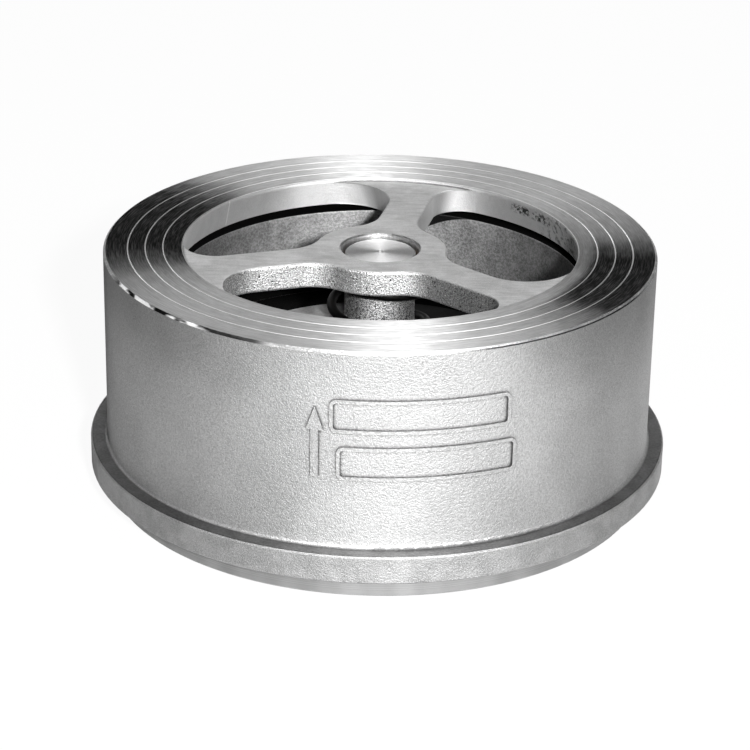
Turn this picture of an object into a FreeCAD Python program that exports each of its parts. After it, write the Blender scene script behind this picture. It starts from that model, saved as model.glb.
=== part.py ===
"""Spring-loaded wafer check valve, nominal size 200 mm.

The valve stands on its inlet face: the origin is the centre of that face and
+Z is the flow direction.  The side that carries the raised flow arrow faces -Y.
All sizes are in millimetres, all angles in degrees.
"""
import FreeCAD, Part
import math
import os

from FreeCAD import Vector

# ---- driving dimensions ------------------------------------------------------
# overall
FACE_TO_FACE = 121.5
BODY_R = 133.7
BODY_CHAMFER = 1.3

# centring flange round the inlet end, and the turned band below it
RIM_R = 142.0
RIM_Z0 = 11.0
RIM_Z1 = 25.0
RIM_EDGE = 1.0
RIM_FILLET = 1.6
INLET_BAND_R = 132.6
INLET_BAND_CHAMFER = 0.8

# gasket faces
GASKET_GROOVE_RADII = (105.0, 113.5, 122.0)
INLET_GROOVE_RADII = (112.0, 118.0, 124.0)
GASKET_GROOVE_WIDTH = 0.8
GASKET_GROOVE_DEPTH = 0.45

# outlet opening and its three-armed spider
OUTLET_R = 95.6
OUTLET_EDGE = 0.5
OUTLET_R_BELOW = 98.5
WEB_RECESS = 1.8
WEB_THICKNESS = 12.9
WEB_EDGE = 1.4
WEB_UNDER_EDGE = 1.2
WEB_EDGE_STEPS = 3
ARM_COUNT = 3
ARM_ANGLE = 77.8
ARM_HALF_WIDTH = 10.2
ARM_CORNER_WIDE = 24.0
ARM_CORNER_TIGHT = 15.0
HUB_R = 32.3
HUB_FILLET = 20.0
HUB_BORE_R = 19.0
HUB_BORE_CHAMFER = 0.6
HUB_POCKET_R = 27.0
HUB_POCKET_DEPTH = 4.5

# groove under the outlet ring and the chamber below it
SLOT_HEIGHT = 4.3
SLOT_R = 112.0
BORE_R = 98.5
BORE_EDGE = 0.6
CHAMBER_R = 106.0
CHAMBER_TOP_Z = 69.0
CHAMBER_WIDE_Z = (56.0, 62.0)
SHOULDER_R = 90.0
SHOULDER_Z = (36.0, 50.0)
INLET_R = 106.1
INLET_CHAMFER = 1.0

# raised marks on the front of the body
RELIEF = 1.2
RELIEF_REACH = 40.0
ARROW_AZIMUTH = -12.0
ARROW_Z = (60.2, 94.4)
ARROW_HEAD = (8.0, 11.2)
ARROW_SHAFT = 3.4
PAD_LINE = 1.5
PAD_CORNER = 3.0
PAD_AZIMUTH = (8.6, 10.0)
PAD_WIDTH = (82.0, 82.0)
PAD_Z = ((82.5, 98.5), (59.5, 75.5))

# seat ring, its seal and its screws
SEAT_RING_R = 106.0
SEAT_RING_Z0 = 22.0
SEAT_NECK_R = 89.8
SEAT_FACE_Z = 46.0
SEAT_LIP_R = (77.0, 82.0)
SEAT_LIP_HEIGHT = 2.0
SEAT_LIP_SLOPE = 0.5
PORT_R = 76.0
PORT_EDGE = 1.0
PORT_MOUTH_R = 90.0
PORT_STRAIGHT_Z = 37.0
PORT_CURVE_MID = (79.6, 27.4)
SEAT_O_RING_SECTION_R = 1.95
SEAT_O_RING_R = 104.1
SEAT_O_RING_Z = 33.0
SEAT_O_RING_GROOVE = 4.2
SEAT_O_RING_SLACK = 0.1
SCREW_COUNT = 8
SCREW_CIRCLE_R = 98.0
SCREW_SHANK_R = 3.0
SCREW_HOLE_R = 3.3
SCREW_HEAD_R = 5.0
SCREW_HEAD_HEIGHT = 6.0
SCREW_END_Z = 47.0
SCREW_POCKET_R = 5.6
SCREW_POCKET_Z = 29.5
SCREW_HEX = 5.0
SCREW_HEX_DEPTH = 3.0
SCREW_EDGE = 0.5
LOCK_WASHER_R = (3.2, 5.2)
LOCK_WASHER_THICKNESS = 1.5
LOCK_WASHER_GAP = 0.8
LOCK_WASHER_SLANT = 25.0

# disc, its seal ring and the retainer that clamps it
DISC_R = 86.0
DISC_BACK_Z = 57.0
DISC_EDGE = 1.5
DISC_HOLE_R = 12.05
SPRING_POCKET_R = 29.2
SPRING_POCKET_DEPTH = 1.0
SEAL_RING_R = (70.3, 83.2)
SEAL_RECESS_R = (70.0, 83.5)
SEAL_THICKNESS = 4.0
RETAINER_R = 75.0
RETAINER_DOME_R = 60.0
RETAINER_DOME_Z = 41.0
RETAINER_BOSS_R = 26.0
RETAINER_BOSS_Z = 36.0
RETAINER_SHOULDER = (70.6, 43.0)
RETAINER_SCREW_COUNT = 6
RETAINER_SCREW_CIRCLE_R = 42.0
RETAINER_SCREW_R = 3.0
RETAINER_SCREW_HEAD_R = 5.8
RETAINER_SCREW_TOP_Z = 53.0
RETAINER_HEX = 4.0

# stem and its fastening
STEM_R = 17.2
STEM_TOP_BELOW_HUB = 2.0
STEM_CHAMFER = 0.8
STEM_CENTRE_R = 1.8
STEM_CENTRE_DEPTH = 1.6
SPIGOT_R = 12.0
SPIGOT_END_Z = 11.0
STEM_SEAL_R = 14.4
STEM_SEAL_SECTION_R = 1.2
STEM_SEAL_GROOVE = (16.0, 2.5)
NUT_WASHER_R = (12.1, 22.0)
NUT_WASHER_THICKNESS = 2.0
NUT_WASHER_EDGE = 0.4
NUT_ACROSS_FLATS = 36.0
NUT_HEIGHT = 20.0
NUT_CHAMFER = 2.0
NUT_CHAMFER_INSET = 0.5
NUT_SLOT_COUNT = 6
NUT_SLOT_WIDTH = 5.6
NUT_SLOT_DEPTH = 6.0
COTTER_R = 1.9
COTTER_HOLE_R = 2.1
COTTER_LEG = 21.5
COTTER_TAIL = 7.0
COTTER_SPLIT = 0.4
COTTER_EYE_R = 3.2
COTTER_EYE_WIRE_R = 1.3
COTTER_EYE_OVERLAP = 0.3
COTTER_TAIL_R = 1.0
COTTER_TAIL_LEAN = 0.5

# guide bush, spring and spring seats
BUSH_BORE_R = 17.5
BUSH_SLEEVE_TOP_Z = 112.9
BUSH_FLANGE_R = 26.5
BUSH_FLANGE_THICKNESS = 2.0
UPPER_SEAT_R = (19.5, 26.5)
UPPER_SEAT_THICKNESS = 1.2
LOWER_SEAT_R = (17.8, 29.0)
LOWER_SEAT_THICKNESS = 2.0
LOWER_SEAT_LIP = (27.0, 2.2)
SPRING_WIRE_R = 2.3
SPRING_MEAN_R = 23.4
SPRING_GROUND_SHARE = 0.5
SPRING_END_TURNS = 0.8
SPRING_ACTIVE_TURNS = 2.3
SPRING_START_ANGLE = 299.0
SPRING_POINTS_PER_TURN = 16

# ---- derived positions -------------------------------------------------------
WEB_TOP_Z = FACE_TO_FACE - WEB_RECESS
WEB_UNDER_Z = WEB_TOP_Z - WEB_THICKNESS
SLOT_BOTTOM_Z = WEB_UNDER_Z - SLOT_HEIGHT
HUB_POCKET_Z = WEB_UNDER_Z + HUB_POCKET_DEPTH
BUSH_FLANGE_Z = HUB_POCKET_Z - BUSH_FLANGE_THICKNESS
SPRING_TOP_Z = BUSH_FLANGE_Z - UPPER_SEAT_THICKNESS
SPRING_POCKET_Z = DISC_BACK_Z - SPRING_POCKET_DEPTH
SPRING_BOTTOM_Z = SPRING_POCKET_Z + LOWER_SEAT_THICKNESS
STEM_TOP_Z = WEB_TOP_Z - STEM_TOP_BELOW_HUB
NUT_TOP_Z = RETAINER_BOSS_Z - NUT_WASHER_THICKNESS
NUT_BOTTOM_Z = NUT_TOP_Z - NUT_HEIGHT
COTTER_Z = NUT_BOTTOM_Z + NUT_SLOT_DEPTH / 2.0

ORIGIN = Vector(0, 0, 0)
UP = Vector(0, 0, 1)
OVERCUT = 1.0
CLOSED = 1e-6


# ---- helpers -----------------------------------------------------------------
def polar(radius, angle, z=0.0):
    """Point at a radius and an angle from +X."""
    a = math.radians(angle)
    return Vector(radius * math.cos(a), radius * math.sin(a), z)


def outline(steps):
    """Closed wire from point to point; a step (via, end) is an arc.

    A straight edge closes the wire, unless the last step already ends at the start.
    """
    edges = []
    here = steps[0]
    for step in steps[1:]:
        if isinstance(step, tuple):
            via, end = step
            edges.append(Part.Arc(here, via, end).toShape())
        else:
            end = step
            edges.append(Part.makeLine(here, end))
        here = end
    if here.distanceToPoint(steps[0]) > CLOSED:
        edges.append(Part.makeLine(here, steps[0]))
    return Part.Wire(edges)


def rz(radius, z):
    """Point of a turning profile."""
    return Vector(radius, 0, z)


def turned(points):
    """Solid of revolution about Z of a closed profile."""
    face = Part.Face(outline(points))
    return face.revolve(ORIGIN, UP, 360)


def ring(inner, outer, z0, z1):
    """Plain ring between two radii and two heights."""
    return turned([rz(inner, z0), rz(outer, z0), rz(outer, z1), rz(inner, z1)])


def cylinder(radius, z0, z1, at=ORIGIN):
    return Part.makeCylinder(radius, z1 - z0, Vector(at.x, at.y, z0))


def hex_prism(across_flats, z0, z1):
    corner_r = across_flats / math.sqrt(3.0)
    corners = [polar(corner_r, 60.0 * i, z0) for i in range(6)]
    return Part.Face(outline(corners)).extrude(Vector(0, 0, z1 - z0))


def around(shape, count, first_angle=0.0):
    """Copies of a shape spread evenly about Z."""
    copies = []
    for i in range(count):
        copy = shape.copy()
        copy.rotate(ORIGIN, UP, first_angle + i * 360.0 / count)
        copies.append(copy)
    return copies


def v_groove(radius, z, depth):
    """Cutter for a V groove in a flat face; a negative depth cuts upwards."""
    half = GASKET_GROOVE_WIDTH / 2.0
    return turned([rz(radius - half, z), rz(radius + half, z), rz(radius, z - depth)])


# ---- valve body --------------------------------------------------------------
def body_blank():
    """Turned form of the casting, with the spider still a full disc."""
    fillet_mid = RIM_FILLET * (1.0 - math.sqrt(0.5))
    slot_mid_z = (WEB_UNDER_Z + SLOT_BOTTOM_Z) / 2.0
    slot_flat_r = SLOT_R - SLOT_HEIGHT / 2.0
    edge_mid = BORE_EDGE * (1.0 - math.sqrt(0.5))
    top = FACE_TO_FACE
    return turned([
        rz(INLET_R + INLET_CHAMFER, 0),
        rz(INLET_BAND_R - INLET_BAND_CHAMFER, 0),
        rz(INLET_BAND_R, INLET_BAND_CHAMFER),
        rz(INLET_BAND_R, RIM_Z0),
        rz(RIM_R - RIM_EDGE, RIM_Z0),
        rz(RIM_R, RIM_Z0 + RIM_EDGE),
        rz(RIM_R, RIM_Z1 - RIM_EDGE),
        rz(RIM_R - RIM_EDGE, RIM_Z1),
        rz(BODY_R + RIM_FILLET, RIM_Z1),
        (rz(BODY_R + fillet_mid, RIM_Z1 + fillet_mid), rz(BODY_R, RIM_Z1 + RIM_FILLET)),
        rz(BODY_R, top - BODY_CHAMFER),
        rz(BODY_R - BODY_CHAMFER, top),
        rz(OUTLET_R + OUTLET_EDGE, top),
        rz(OUTLET_R, top - OUTLET_EDGE),
        rz(OUTLET_R, WEB_TOP_Z),
        rz(HUB_BORE_R + HUB_BORE_CHAMFER, WEB_TOP_Z),
        rz(HUB_BORE_R, WEB_TOP_Z - HUB_BORE_CHAMFER),
        rz(HUB_BORE_R, HUB_POCKET_Z),
        rz(HUB_POCKET_R, HUB_POCKET_Z),
        rz(HUB_POCKET_R, WEB_UNDER_Z),
        rz(slot_flat_r, WEB_UNDER_Z),
        (rz(SLOT_R, slot_mid_z), rz(slot_flat_r, SLOT_BOTTOM_Z)),
        rz(BORE_R + BORE_EDGE, SLOT_BOTTOM_Z),
        (rz(BORE_R + edge_mid, SLOT_BOTTOM_Z - edge_mid), rz(BORE_R, SLOT_BOTTOM_Z - BORE_EDGE)),
        rz(BORE_R, CHAMBER_TOP_Z),
        rz(CHAMBER_R, CHAMBER_WIDE_Z[1]),
        rz(CHAMBER_R, CHAMBER_WIDE_Z[0]),
        rz(SHOULDER_R, SHOULDER_Z[1]),
        rz(SHOULDER_R, SHOULDER_Z[0]),
        rz(INLET_R, SHOULDER_Z[0]),
        rz(INLET_R, INLET_CHAMFER),
    ])


def window_side(half_width, corner, hub_r, hub_fillet, ring_r):
    """Points of one side of a window beside an arm that lies along +X.

    Returned as (ring tangent, corner mid, arm outer end, arm inner end,
    hub fillet mid, hub tangent).
    """
    far = ring_r - corner
    offset = half_width + corner
    along = math.sqrt(far * far - offset * offset)
    centre = Vector(along, offset, 0)
    outward = Vector(centre).normalize()
    ring_tangent = centre + outward * corner
    middle = (outward + Vector(0, -1, 0)).normalize()
    corner_mid = centre + middle * corner
    arm_outer = Vector(along, half_width, 0)

    reach = hub_r + hub_fillet
    offset = half_width + hub_fillet
    along = math.sqrt(reach * reach - offset * offset)
    centre = Vector(along, offset, 0)
    inward = Vector(centre).normalize() * -1.0
    hub_tangent = centre + inward * hub_fillet
    middle = (inward + Vector(0, -1, 0)).normalize()
    fillet_mid = centre + middle * hub_fillet
    arm_inner = Vector(along, half_width, 0)
    return ring_tangent, corner_mid, arm_outer, arm_inner, fillet_mid, hub_tangent


def window_wire(z, widen, ring_r):
    """Outline of one window; widen trims the arms and the hub by that much."""
    half = ARM_HALF_WIDTH - widen
    hub = HUB_R - widen
    hub_fillet = HUB_FILLET + widen
    first = window_side(half, ARM_CORNER_WIDE + widen, hub, hub_fillet, ring_r)
    second = window_side(half, ARM_CORNER_TIGHT + widen, hub, hub_fillet, ring_r)
    pitch = 360.0 / ARM_COUNT
    turn = FreeCAD.Rotation(UP, pitch)
    second = [turn.multVec(Vector(p.x, -p.y, 0)) for p in second]
    ring_t1, corner_1, outer_1, inner_1, fillet_1, hub_t1 = first
    ring_t2, corner_2, outer_2, inner_2, fillet_2, hub_t2 = second
    mid_angle = pitch / 2.0
    wire = outline([
        ring_t1,
        (corner_1, outer_1),
        inner_1,
        (fillet_1, hub_t1),
        (polar(hub, mid_angle), hub_t2),
        (fillet_2, inner_2),
        outer_2,
        (corner_2, ring_t2),
        (polar(ring_r, mid_angle), ring_t1),
    ])
    wire.translate(Vector(0, 0, z))
    return wire


def window_cutter():
    """One window through the spider, with the arms' edges rounded above and below."""
    sections = [(WEB_UNDER_Z - OVERCUT, WEB_UNDER_EDGE)]
    angles = [math.radians(90.0 * step / WEB_EDGE_STEPS) for step in range(WEB_EDGE_STEPS + 1)]
    for a in angles:
        z = WEB_UNDER_Z + WEB_UNDER_EDGE * (1.0 - math.cos(a))
        sections.append((z, WEB_UNDER_EDGE * (1.0 - math.sin(a))))
    for a in angles:
        z = WEB_TOP_Z - WEB_EDGE * (1.0 - math.sin(a))
        sections.append((z, WEB_EDGE * (1.0 - math.cos(a))))
    wires = []
    for z, widen in sections:
        share = (WEB_TOP_Z - z) / WEB_THICKNESS
        ring_r = OUTLET_R + share * (OUTLET_R_BELOW - OUTLET_R)
        wires.append(window_wire(z, widen, ring_r))
    return Part.makeLoft(wires, True, True)


def on_body_side(wire, azimuth):
    """Raise a flat outline on the body's side as relief.

    The outline is drawn with X along the side and Y up; azimuth is counted
    from the front (-Y) towards +X.
    """
    slab = Part.Face(wire).extrude(Vector(0, 0, RELIEF_REACH))
    slab.translate(Vector(0, 0, BODY_R - RELIEF_REACH / 2.0))
    slab.rotate(ORIGIN, Vector(1, 0, 0), 90)
    slab.rotate(ORIGIN, UP, azimuth)
    shell = ring(BODY_R - RELIEF, BODY_R + RELIEF, RIM_Z1 + RIM_FILLET, FACE_TO_FACE - BODY_CHAMFER)
    return slab.common(shell)


def arrow_relief():
    """Flow arrow, pointing along +Z."""
    half_head = ARROW_HEAD[0] / 2.0
    half_shaft = ARROW_SHAFT / 2.0
    z0, z1 = ARROW_Z
    neck = z1 - ARROW_HEAD[1]
    wire = outline([
        Vector(0, z1, 0),
        Vector(-half_head, neck, 0),
        Vector(-half_shaft, neck, 0),
        Vector(-half_shaft, z0, 0),
        Vector(half_shaft, z0, 0),
        Vector(half_shaft, neck, 0),
        Vector(half_head, neck, 0),
    ])
    return on_body_side(wire, ARROW_AZIMUTH)


def rounded_rectangle(width, z0, z1, radius):
    """Rounded rectangle, centred in X."""
    x = width / 2.0
    lift = radius * (1.0 - math.sqrt(0.5))
    return outline([
        Vector(-x + radius, z0, 0),
        Vector(x - radius, z0, 0),
        (Vector(x - lift, z0 + lift, 0), Vector(x, z0 + radius, 0)),
        Vector(x, z1 - radius, 0),
        (Vector(x - lift, z1 - lift, 0), Vector(x - radius, z1, 0)),
        Vector(-x + radius, z1, 0),
        (Vector(-x + lift, z1 - lift, 0), Vector(-x, z1 - radius, 0)),
        Vector(-x, z0 + radius, 0),
        (Vector(-x + lift, z0 + lift, 0), Vector(-x + radius, z0, 0)),
    ])


def pad_relief(row):
    """Raised blank frame where a maker would cast its marks."""
    z0, z1 = PAD_Z[row]
    width = PAD_WIDTH[row]
    outer = on_body_side(rounded_rectangle(width, z0, z1, PAD_CORNER), PAD_AZIMUTH[row])
    inner_wire = rounded_rectangle(
        width - 2 * PAD_LINE, z0 + PAD_LINE, z1 - PAD_LINE, PAD_CORNER - PAD_LINE)
    inner = on_body_side(inner_wire, PAD_AZIMUTH[row])
    return outer.cut(inner)


def valve_body():
    """The casting: outer shell, centring flange, spider and hub in one piece."""
    body = body_blank()
    windows = around(window_cutter(), ARM_COUNT, ARM_ANGLE)
    grooves = [v_groove(r, FACE_TO_FACE, GASKET_GROOVE_DEPTH) for r in GASKET_GROOVE_RADII]
    grooves += [v_groove(r, 0, -GASKET_GROOVE_DEPTH) for r in INLET_GROOVE_RADII]
    hole = cylinder(SCREW_SHANK_R, SHOULDER_Z[0] - OVERCUT, SCREW_END_Z + OVERCUT,
                    polar(SCREW_CIRCLE_R, 0))
    body = body.cut(windows + grooves + around(hole, SCREW_COUNT, 180.0 / SCREW_COUNT))
    return body.fuse([arrow_relief(), pad_relief(0), pad_relief(1)])


# ---- seat ring and its fastening ---------------------------------------------
def seat_ring():
    """Ring that carries the seat; it goes in from the inlet after the disc."""
    groove_r = INLET_R - 2 * SEAT_O_RING_SECTION_R - SEAT_O_RING_SLACK
    groove_0 = SEAT_O_RING_Z - SEAT_O_RING_GROOVE / 2.0
    groove_1 = SEAT_O_RING_Z + SEAT_O_RING_GROOVE / 2.0
    neck_top = SEAT_FACE_Z - SEAT_LIP_HEIGHT
    blank = turned([
        rz(PORT_MOUTH_R, SEAT_RING_Z0),
        rz(SEAT_RING_R - INLET_CHAMFER, SEAT_RING_Z0),
        rz(SEAT_RING_R, SEAT_RING_Z0 + INLET_CHAMFER),
        rz(SEAT_RING_R, groove_0),
        rz(groove_r, groove_0),
        rz(groove_r, groove_1),
        rz(SEAT_RING_R, groove_1),
        rz(SEAT_RING_R, SHOULDER_Z[0]),
        rz(SEAT_NECK_R, SHOULDER_Z[0]),
        rz(SEAT_NECK_R, neck_top),
        rz(SEAT_LIP_R[1] + SEAT_LIP_SLOPE, neck_top),
        rz(SEAT_LIP_R[1], SEAT_FACE_Z),
        rz(SEAT_LIP_R[0], SEAT_FACE_Z),
        rz(PORT_R, SEAT_FACE_Z - PORT_EDGE),
        rz(PORT_R, PORT_STRAIGHT_Z),
        (rz(*PORT_CURVE_MID), rz(PORT_MOUTH_R, SEAT_RING_Z0)),
    ])
    at = polar(SCREW_CIRCLE_R, 0)
    hole = cylinder(SCREW_HOLE_R, SEAT_RING_Z0, SHOULDER_Z[0] + OVERCUT, at)
    pocket = cylinder(SCREW_POCKET_R, SEAT_RING_Z0 - OVERCUT, SCREW_POCKET_Z, at)
    first = 180.0 / SCREW_COUNT
    return blank.cut(around(hole.fuse(pocket), SCREW_COUNT, first))


def seat_o_ring():
    return Part.makeTorus(SEAT_O_RING_R, SEAT_O_RING_SECTION_R, Vector(0, 0, SEAT_O_RING_Z))


def cap_screw(at):
    """Socket-head cap screw that points up, with its socket facing the inlet."""
    head_top = SCREW_POCKET_Z - LOCK_WASHER_THICKNESS
    head_bottom = head_top - SCREW_HEAD_HEIGHT
    edge = SCREW_EDGE
    profile = turned([
        rz(0, head_bottom),
        rz(SCREW_HEAD_R - edge, head_bottom),
        rz(SCREW_HEAD_R, head_bottom + edge),
        rz(SCREW_HEAD_R, head_top),
        rz(SCREW_SHANK_R, head_top),
        rz(SCREW_SHANK_R, SCREW_END_Z - edge),
        rz(SCREW_SHANK_R - edge, SCREW_END_Z),
        rz(0, SCREW_END_Z),
    ])
    socket = hex_prism(SCREW_HEX, head_bottom - OVERCUT, head_bottom + SCREW_HEX_DEPTH)
    screw = profile.cut(socket)
    screw.translate(at)
    return screw


def seat_screws():
    first = 180.0 / SCREW_COUNT
    return around(cap_screw(polar(SCREW_CIRCLE_R, 0)), SCREW_COUNT, first)


def seat_screw_washers():
    """Split spring washers under the seat screws' heads."""
    z1 = SCREW_POCKET_Z
    z0 = z1 - LOCK_WASHER_THICKNESS
    washer = ring(LOCK_WASHER_R[0], LOCK_WASHER_R[1], z0, z1)
    split = Part.makeBox(LOCK_WASHER_R[1] + OVERCUT, LOCK_WASHER_GAP, 3 * LOCK_WASHER_THICKNESS,
                         Vector(0, -LOCK_WASHER_GAP / 2.0, z0 - LOCK_WASHER_THICKNESS))
    split.rotate(Vector(0, 0, z0), Vector(1, 0, 0), LOCK_WASHER_SLANT)
    washer = washer.cut(split)
    washer.translate(polar(SCREW_CIRCLE_R, 0))
    return around(washer, SCREW_COUNT, 180.0 / SCREW_COUNT)


# ---- disc assembly -----------------------------------------------------------
def disc():
    """Closing disc, with a recess for its seal ring and a pocket for the spring."""
    seal_top = SEAT_FACE_Z + SEAL_THICKNESS
    groove_r, groove_depth = STEM_SEAL_GROOVE
    blank = turned([
        rz(DISC_HOLE_R, SEAT_FACE_Z),
        rz(SEAL_RECESS_R[0], SEAT_FACE_Z),
        rz(SEAL_RECESS_R[0], seal_top),
        rz(SEAL_RECESS_R[1], seal_top),
        rz(SEAL_RECESS_R[1], SEAT_FACE_Z),
        rz(DISC_R - DISC_EDGE, SEAT_FACE_Z),
        rz(DISC_R, SEAT_FACE_Z + DISC_EDGE),
        rz(DISC_R, DISC_BACK_Z - DISC_EDGE),
        rz(DISC_R - DISC_EDGE, DISC_BACK_Z),
        rz(SPRING_POCKET_R, DISC_BACK_Z),
        rz(SPRING_POCKET_R, SPRING_POCKET_Z),
        rz(groove_r, SPRING_POCKET_Z),
        rz(groove_r, SPRING_POCKET_Z - groove_depth),
        rz(DISC_HOLE_R, SPRING_POCKET_Z - groove_depth),
    ])
    hole = cylinder(RETAINER_SCREW_R, SEAT_FACE_Z - OVERCUT, RETAINER_SCREW_TOP_Z + OVERCUT,
                    polar(RETAINER_SCREW_CIRCLE_R, 0))
    return blank.cut(around(hole, RETAINER_SCREW_COUNT))


def disc_seal_ring():
    """Soft sealing ring that closes on the seat."""
    return ring(SEAL_RING_R[0], SEAL_RING_R[1], SEAT_FACE_Z, SEAT_FACE_Z + SEAL_THICKNESS)


def retainer_face_z(radius):
    """Height of the retainer's underside on its cone, at a radius."""
    run = RETAINER_DOME_R - RETAINER_BOSS_R
    rise = RETAINER_DOME_Z - RETAINER_BOSS_Z
    return RETAINER_BOSS_Z + (radius - RETAINER_BOSS_R) / run * rise


def seal_retainer():
    """Streamlined plate on the inlet side that clamps the seal ring."""
    blank = turned([
        rz(DISC_HOLE_R, SEAT_FACE_Z),
        rz(DISC_HOLE_R, RETAINER_BOSS_Z),
        rz(RETAINER_BOSS_R, RETAINER_BOSS_Z),
        rz(RETAINER_DOME_R, RETAINER_DOME_Z),
        (rz(*RETAINER_SHOULDER), rz(RETAINER_R, SEAT_FACE_Z)),
    ])
    at = polar(RETAINER_SCREW_CIRCLE_R, 0)
    seat_z = retainer_face_z(RETAINER_SCREW_CIRCLE_R)
    hole = cylinder(RETAINER_SCREW_R, RETAINER_BOSS_Z, SEAT_FACE_Z + OVERCUT, at)
    sink = cylinder(RETAINER_SCREW_HEAD_R, RETAINER_BOSS_Z - OVERCUT, seat_z, at)
    cone = Part.makeCone(RETAINER_SCREW_HEAD_R, RETAINER_SCREW_R,
                         RETAINER_SCREW_HEAD_R - RETAINER_SCREW_R, Vector(at.x, at.y, seat_z))
    return blank.cut(around(hole.fuse([sink, cone]), RETAINER_SCREW_COUNT))


def retainer_screws():
    """Countersunk screws, heads just inside the retainer's face."""
    seat_z = retainer_face_z(RETAINER_SCREW_CIRCLE_R)
    neck_z = seat_z + RETAINER_SCREW_HEAD_R - RETAINER_SCREW_R
    screw = turned([
        rz(0, seat_z),
        rz(RETAINER_SCREW_HEAD_R, seat_z),
        rz(RETAINER_SCREW_R, neck_z),
        rz(RETAINER_SCREW_R, RETAINER_SCREW_TOP_Z),
        rz(0, RETAINER_SCREW_TOP_Z),
    ])
    screw = screw.cut(hex_prism(RETAINER_HEX, seat_z - OVERCUT, neck_z))
    screw.translate(polar(RETAINER_SCREW_CIRCLE_R, 0))
    return around(screw, RETAINER_SCREW_COUNT)


def stem():
    """Guide stem: thick upper rod, and a spigot through the disc with a thread end."""
    top = STEM_TOP_Z
    shoulder = SPRING_POCKET_Z
    rod = turned([
        rz(0, SPIGOT_END_Z),
        rz(SPIGOT_R - STEM_CHAMFER * 2, SPIGOT_END_Z),
        rz(SPIGOT_R, SPIGOT_END_Z + STEM_CHAMFER * 2),
        rz(SPIGOT_R, shoulder),
        rz(STEM_R, shoulder),
        rz(STEM_R, top - STEM_CHAMFER),
        rz(STEM_R - STEM_CHAMFER, top),
        rz(STEM_CENTRE_R, top),
        rz(0, top - STEM_CENTRE_DEPTH),
    ])
    hole = Part.makeCylinder(COTTER_HOLE_R, 4 * SPIGOT_R, Vector(-2 * SPIGOT_R, 0, COTTER_Z),
                             Vector(1, 0, 0))
    return rod.cut(hole)


def stem_seal_ring():
    """O-ring under the stem's shoulder, so that nothing leaks along the spigot."""
    z = SPRING_POCKET_Z - STEM_SEAL_GROOVE[1] / 2.0
    return Part.makeTorus(STEM_SEAL_R, STEM_SEAL_SECTION_R, Vector(0, 0, z))


def disc_nut_washer():
    edge = NUT_WASHER_EDGE
    inner, outer = NUT_WASHER_R
    return turned([
        rz(inner, NUT_TOP_Z),
        rz(outer - edge, NUT_TOP_Z),
        rz(outer, NUT_TOP_Z + edge),
        rz(outer, RETAINER_BOSS_Z),
        rz(inner, RETAINER_BOSS_Z),
    ])


def disc_nut():
    """Slotted hexagon nut, slots towards the inlet."""
    corner_r = NUT_ACROSS_FLATS / math.sqrt(3.0)
    flat_r = NUT_ACROSS_FLATS / 2.0
    envelope = turned([
        rz(SPIGOT_R, NUT_BOTTOM_Z),
        rz(flat_r - NUT_CHAMFER_INSET, NUT_BOTTOM_Z),
        rz(corner_r, NUT_BOTTOM_Z + NUT_CHAMFER),
        rz(corner_r, NUT_TOP_Z - NUT_CHAMFER),
        rz(flat_r - NUT_CHAMFER_INSET, NUT_TOP_Z),
        rz(SPIGOT_R, NUT_TOP_Z),
    ])
    nut = hex_prism(NUT_ACROSS_FLATS, NUT_BOTTOM_Z, NUT_TOP_Z).common(envelope)
    slot = Part.makeBox(corner_r + OVERCUT, NUT_SLOT_WIDTH, NUT_SLOT_DEPTH + OVERCUT,
                        Vector(0, -NUT_SLOT_WIDTH / 2.0, NUT_BOTTOM_Z - OVERCUT))
    return nut.cut(around(slot, NUT_SLOT_COUNT))


def cotter_pin():
    """Split pin through the nut's slots: an eye, two legs and two bent tails."""
    start = Vector(-COTTER_LEG, 0, COTTER_Z)
    legs = Part.makeCylinder(COTTER_R, 2 * COTTER_LEG, start, Vector(1, 0, 0))
    slit = Part.makeBox(2 * COTTER_LEG, COTTER_SPLIT, 4 * COTTER_R,
                        Vector(-COTTER_LEG + 2 * COTTER_R, -COTTER_SPLIT / 2.0,
                               COTTER_Z - 2 * COTTER_R))
    legs = legs.cut(slit)
    eye_at = Vector(COTTER_EYE_OVERLAP - COTTER_LEG - COTTER_EYE_R, 0, COTTER_Z)
    eye = Part.makeTorus(COTTER_EYE_R, COTTER_EYE_WIRE_R, eye_at, UP)
    tails = []
    for side in (-1, 1):
        root = Vector(COTTER_LEG - COTTER_R, side * COTTER_TAIL_R, COTTER_Z)
        lean = Vector(COTTER_TAIL_LEAN, side, 0)
        tails.append(Part.makeCylinder(COTTER_TAIL_R, COTTER_TAIL, root, lean))
    return legs.fuse([eye] + tails)


# ---- guide, spring and spring seats ------------------------------------------
def guide_bush():
    """Flanged bush in the hub; the spring holds its flange in the hub's pocket."""
    return turned([
        rz(BUSH_BORE_R, BUSH_FLANGE_Z),
        rz(BUSH_FLANGE_R, BUSH_FLANGE_Z),
        rz(BUSH_FLANGE_R, HUB_POCKET_Z),
        rz(HUB_BORE_R, HUB_POCKET_Z),
        rz(HUB_BORE_R, BUSH_SLEEVE_TOP_Z),
        rz(BUSH_BORE_R, BUSH_SLEEVE_TOP_Z),
    ])


def upper_spring_seat():
    inner, outer = UPPER_SEAT_R
    return ring(inner, outer, SPRING_TOP_Z, BUSH_FLANGE_Z)


def lower_spring_seat():
    """Cupped washer that the spring pushes down onto the disc."""
    inner, outer = LOWER_SEAT_R
    lip_r, lip_height = LOWER_SEAT_LIP
    return turned([
        rz(inner, SPRING_POCKET_Z),
        rz(outer, SPRING_POCKET_Z),
        rz(outer, SPRING_BOTTOM_Z + lip_height),
        rz(lip_r, SPRING_BOTTOM_Z + lip_height),
        rz(lip_r, SPRING_BOTTOM_Z),
        rz(inner, SPRING_BOTTOM_Z),
    ])


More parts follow.
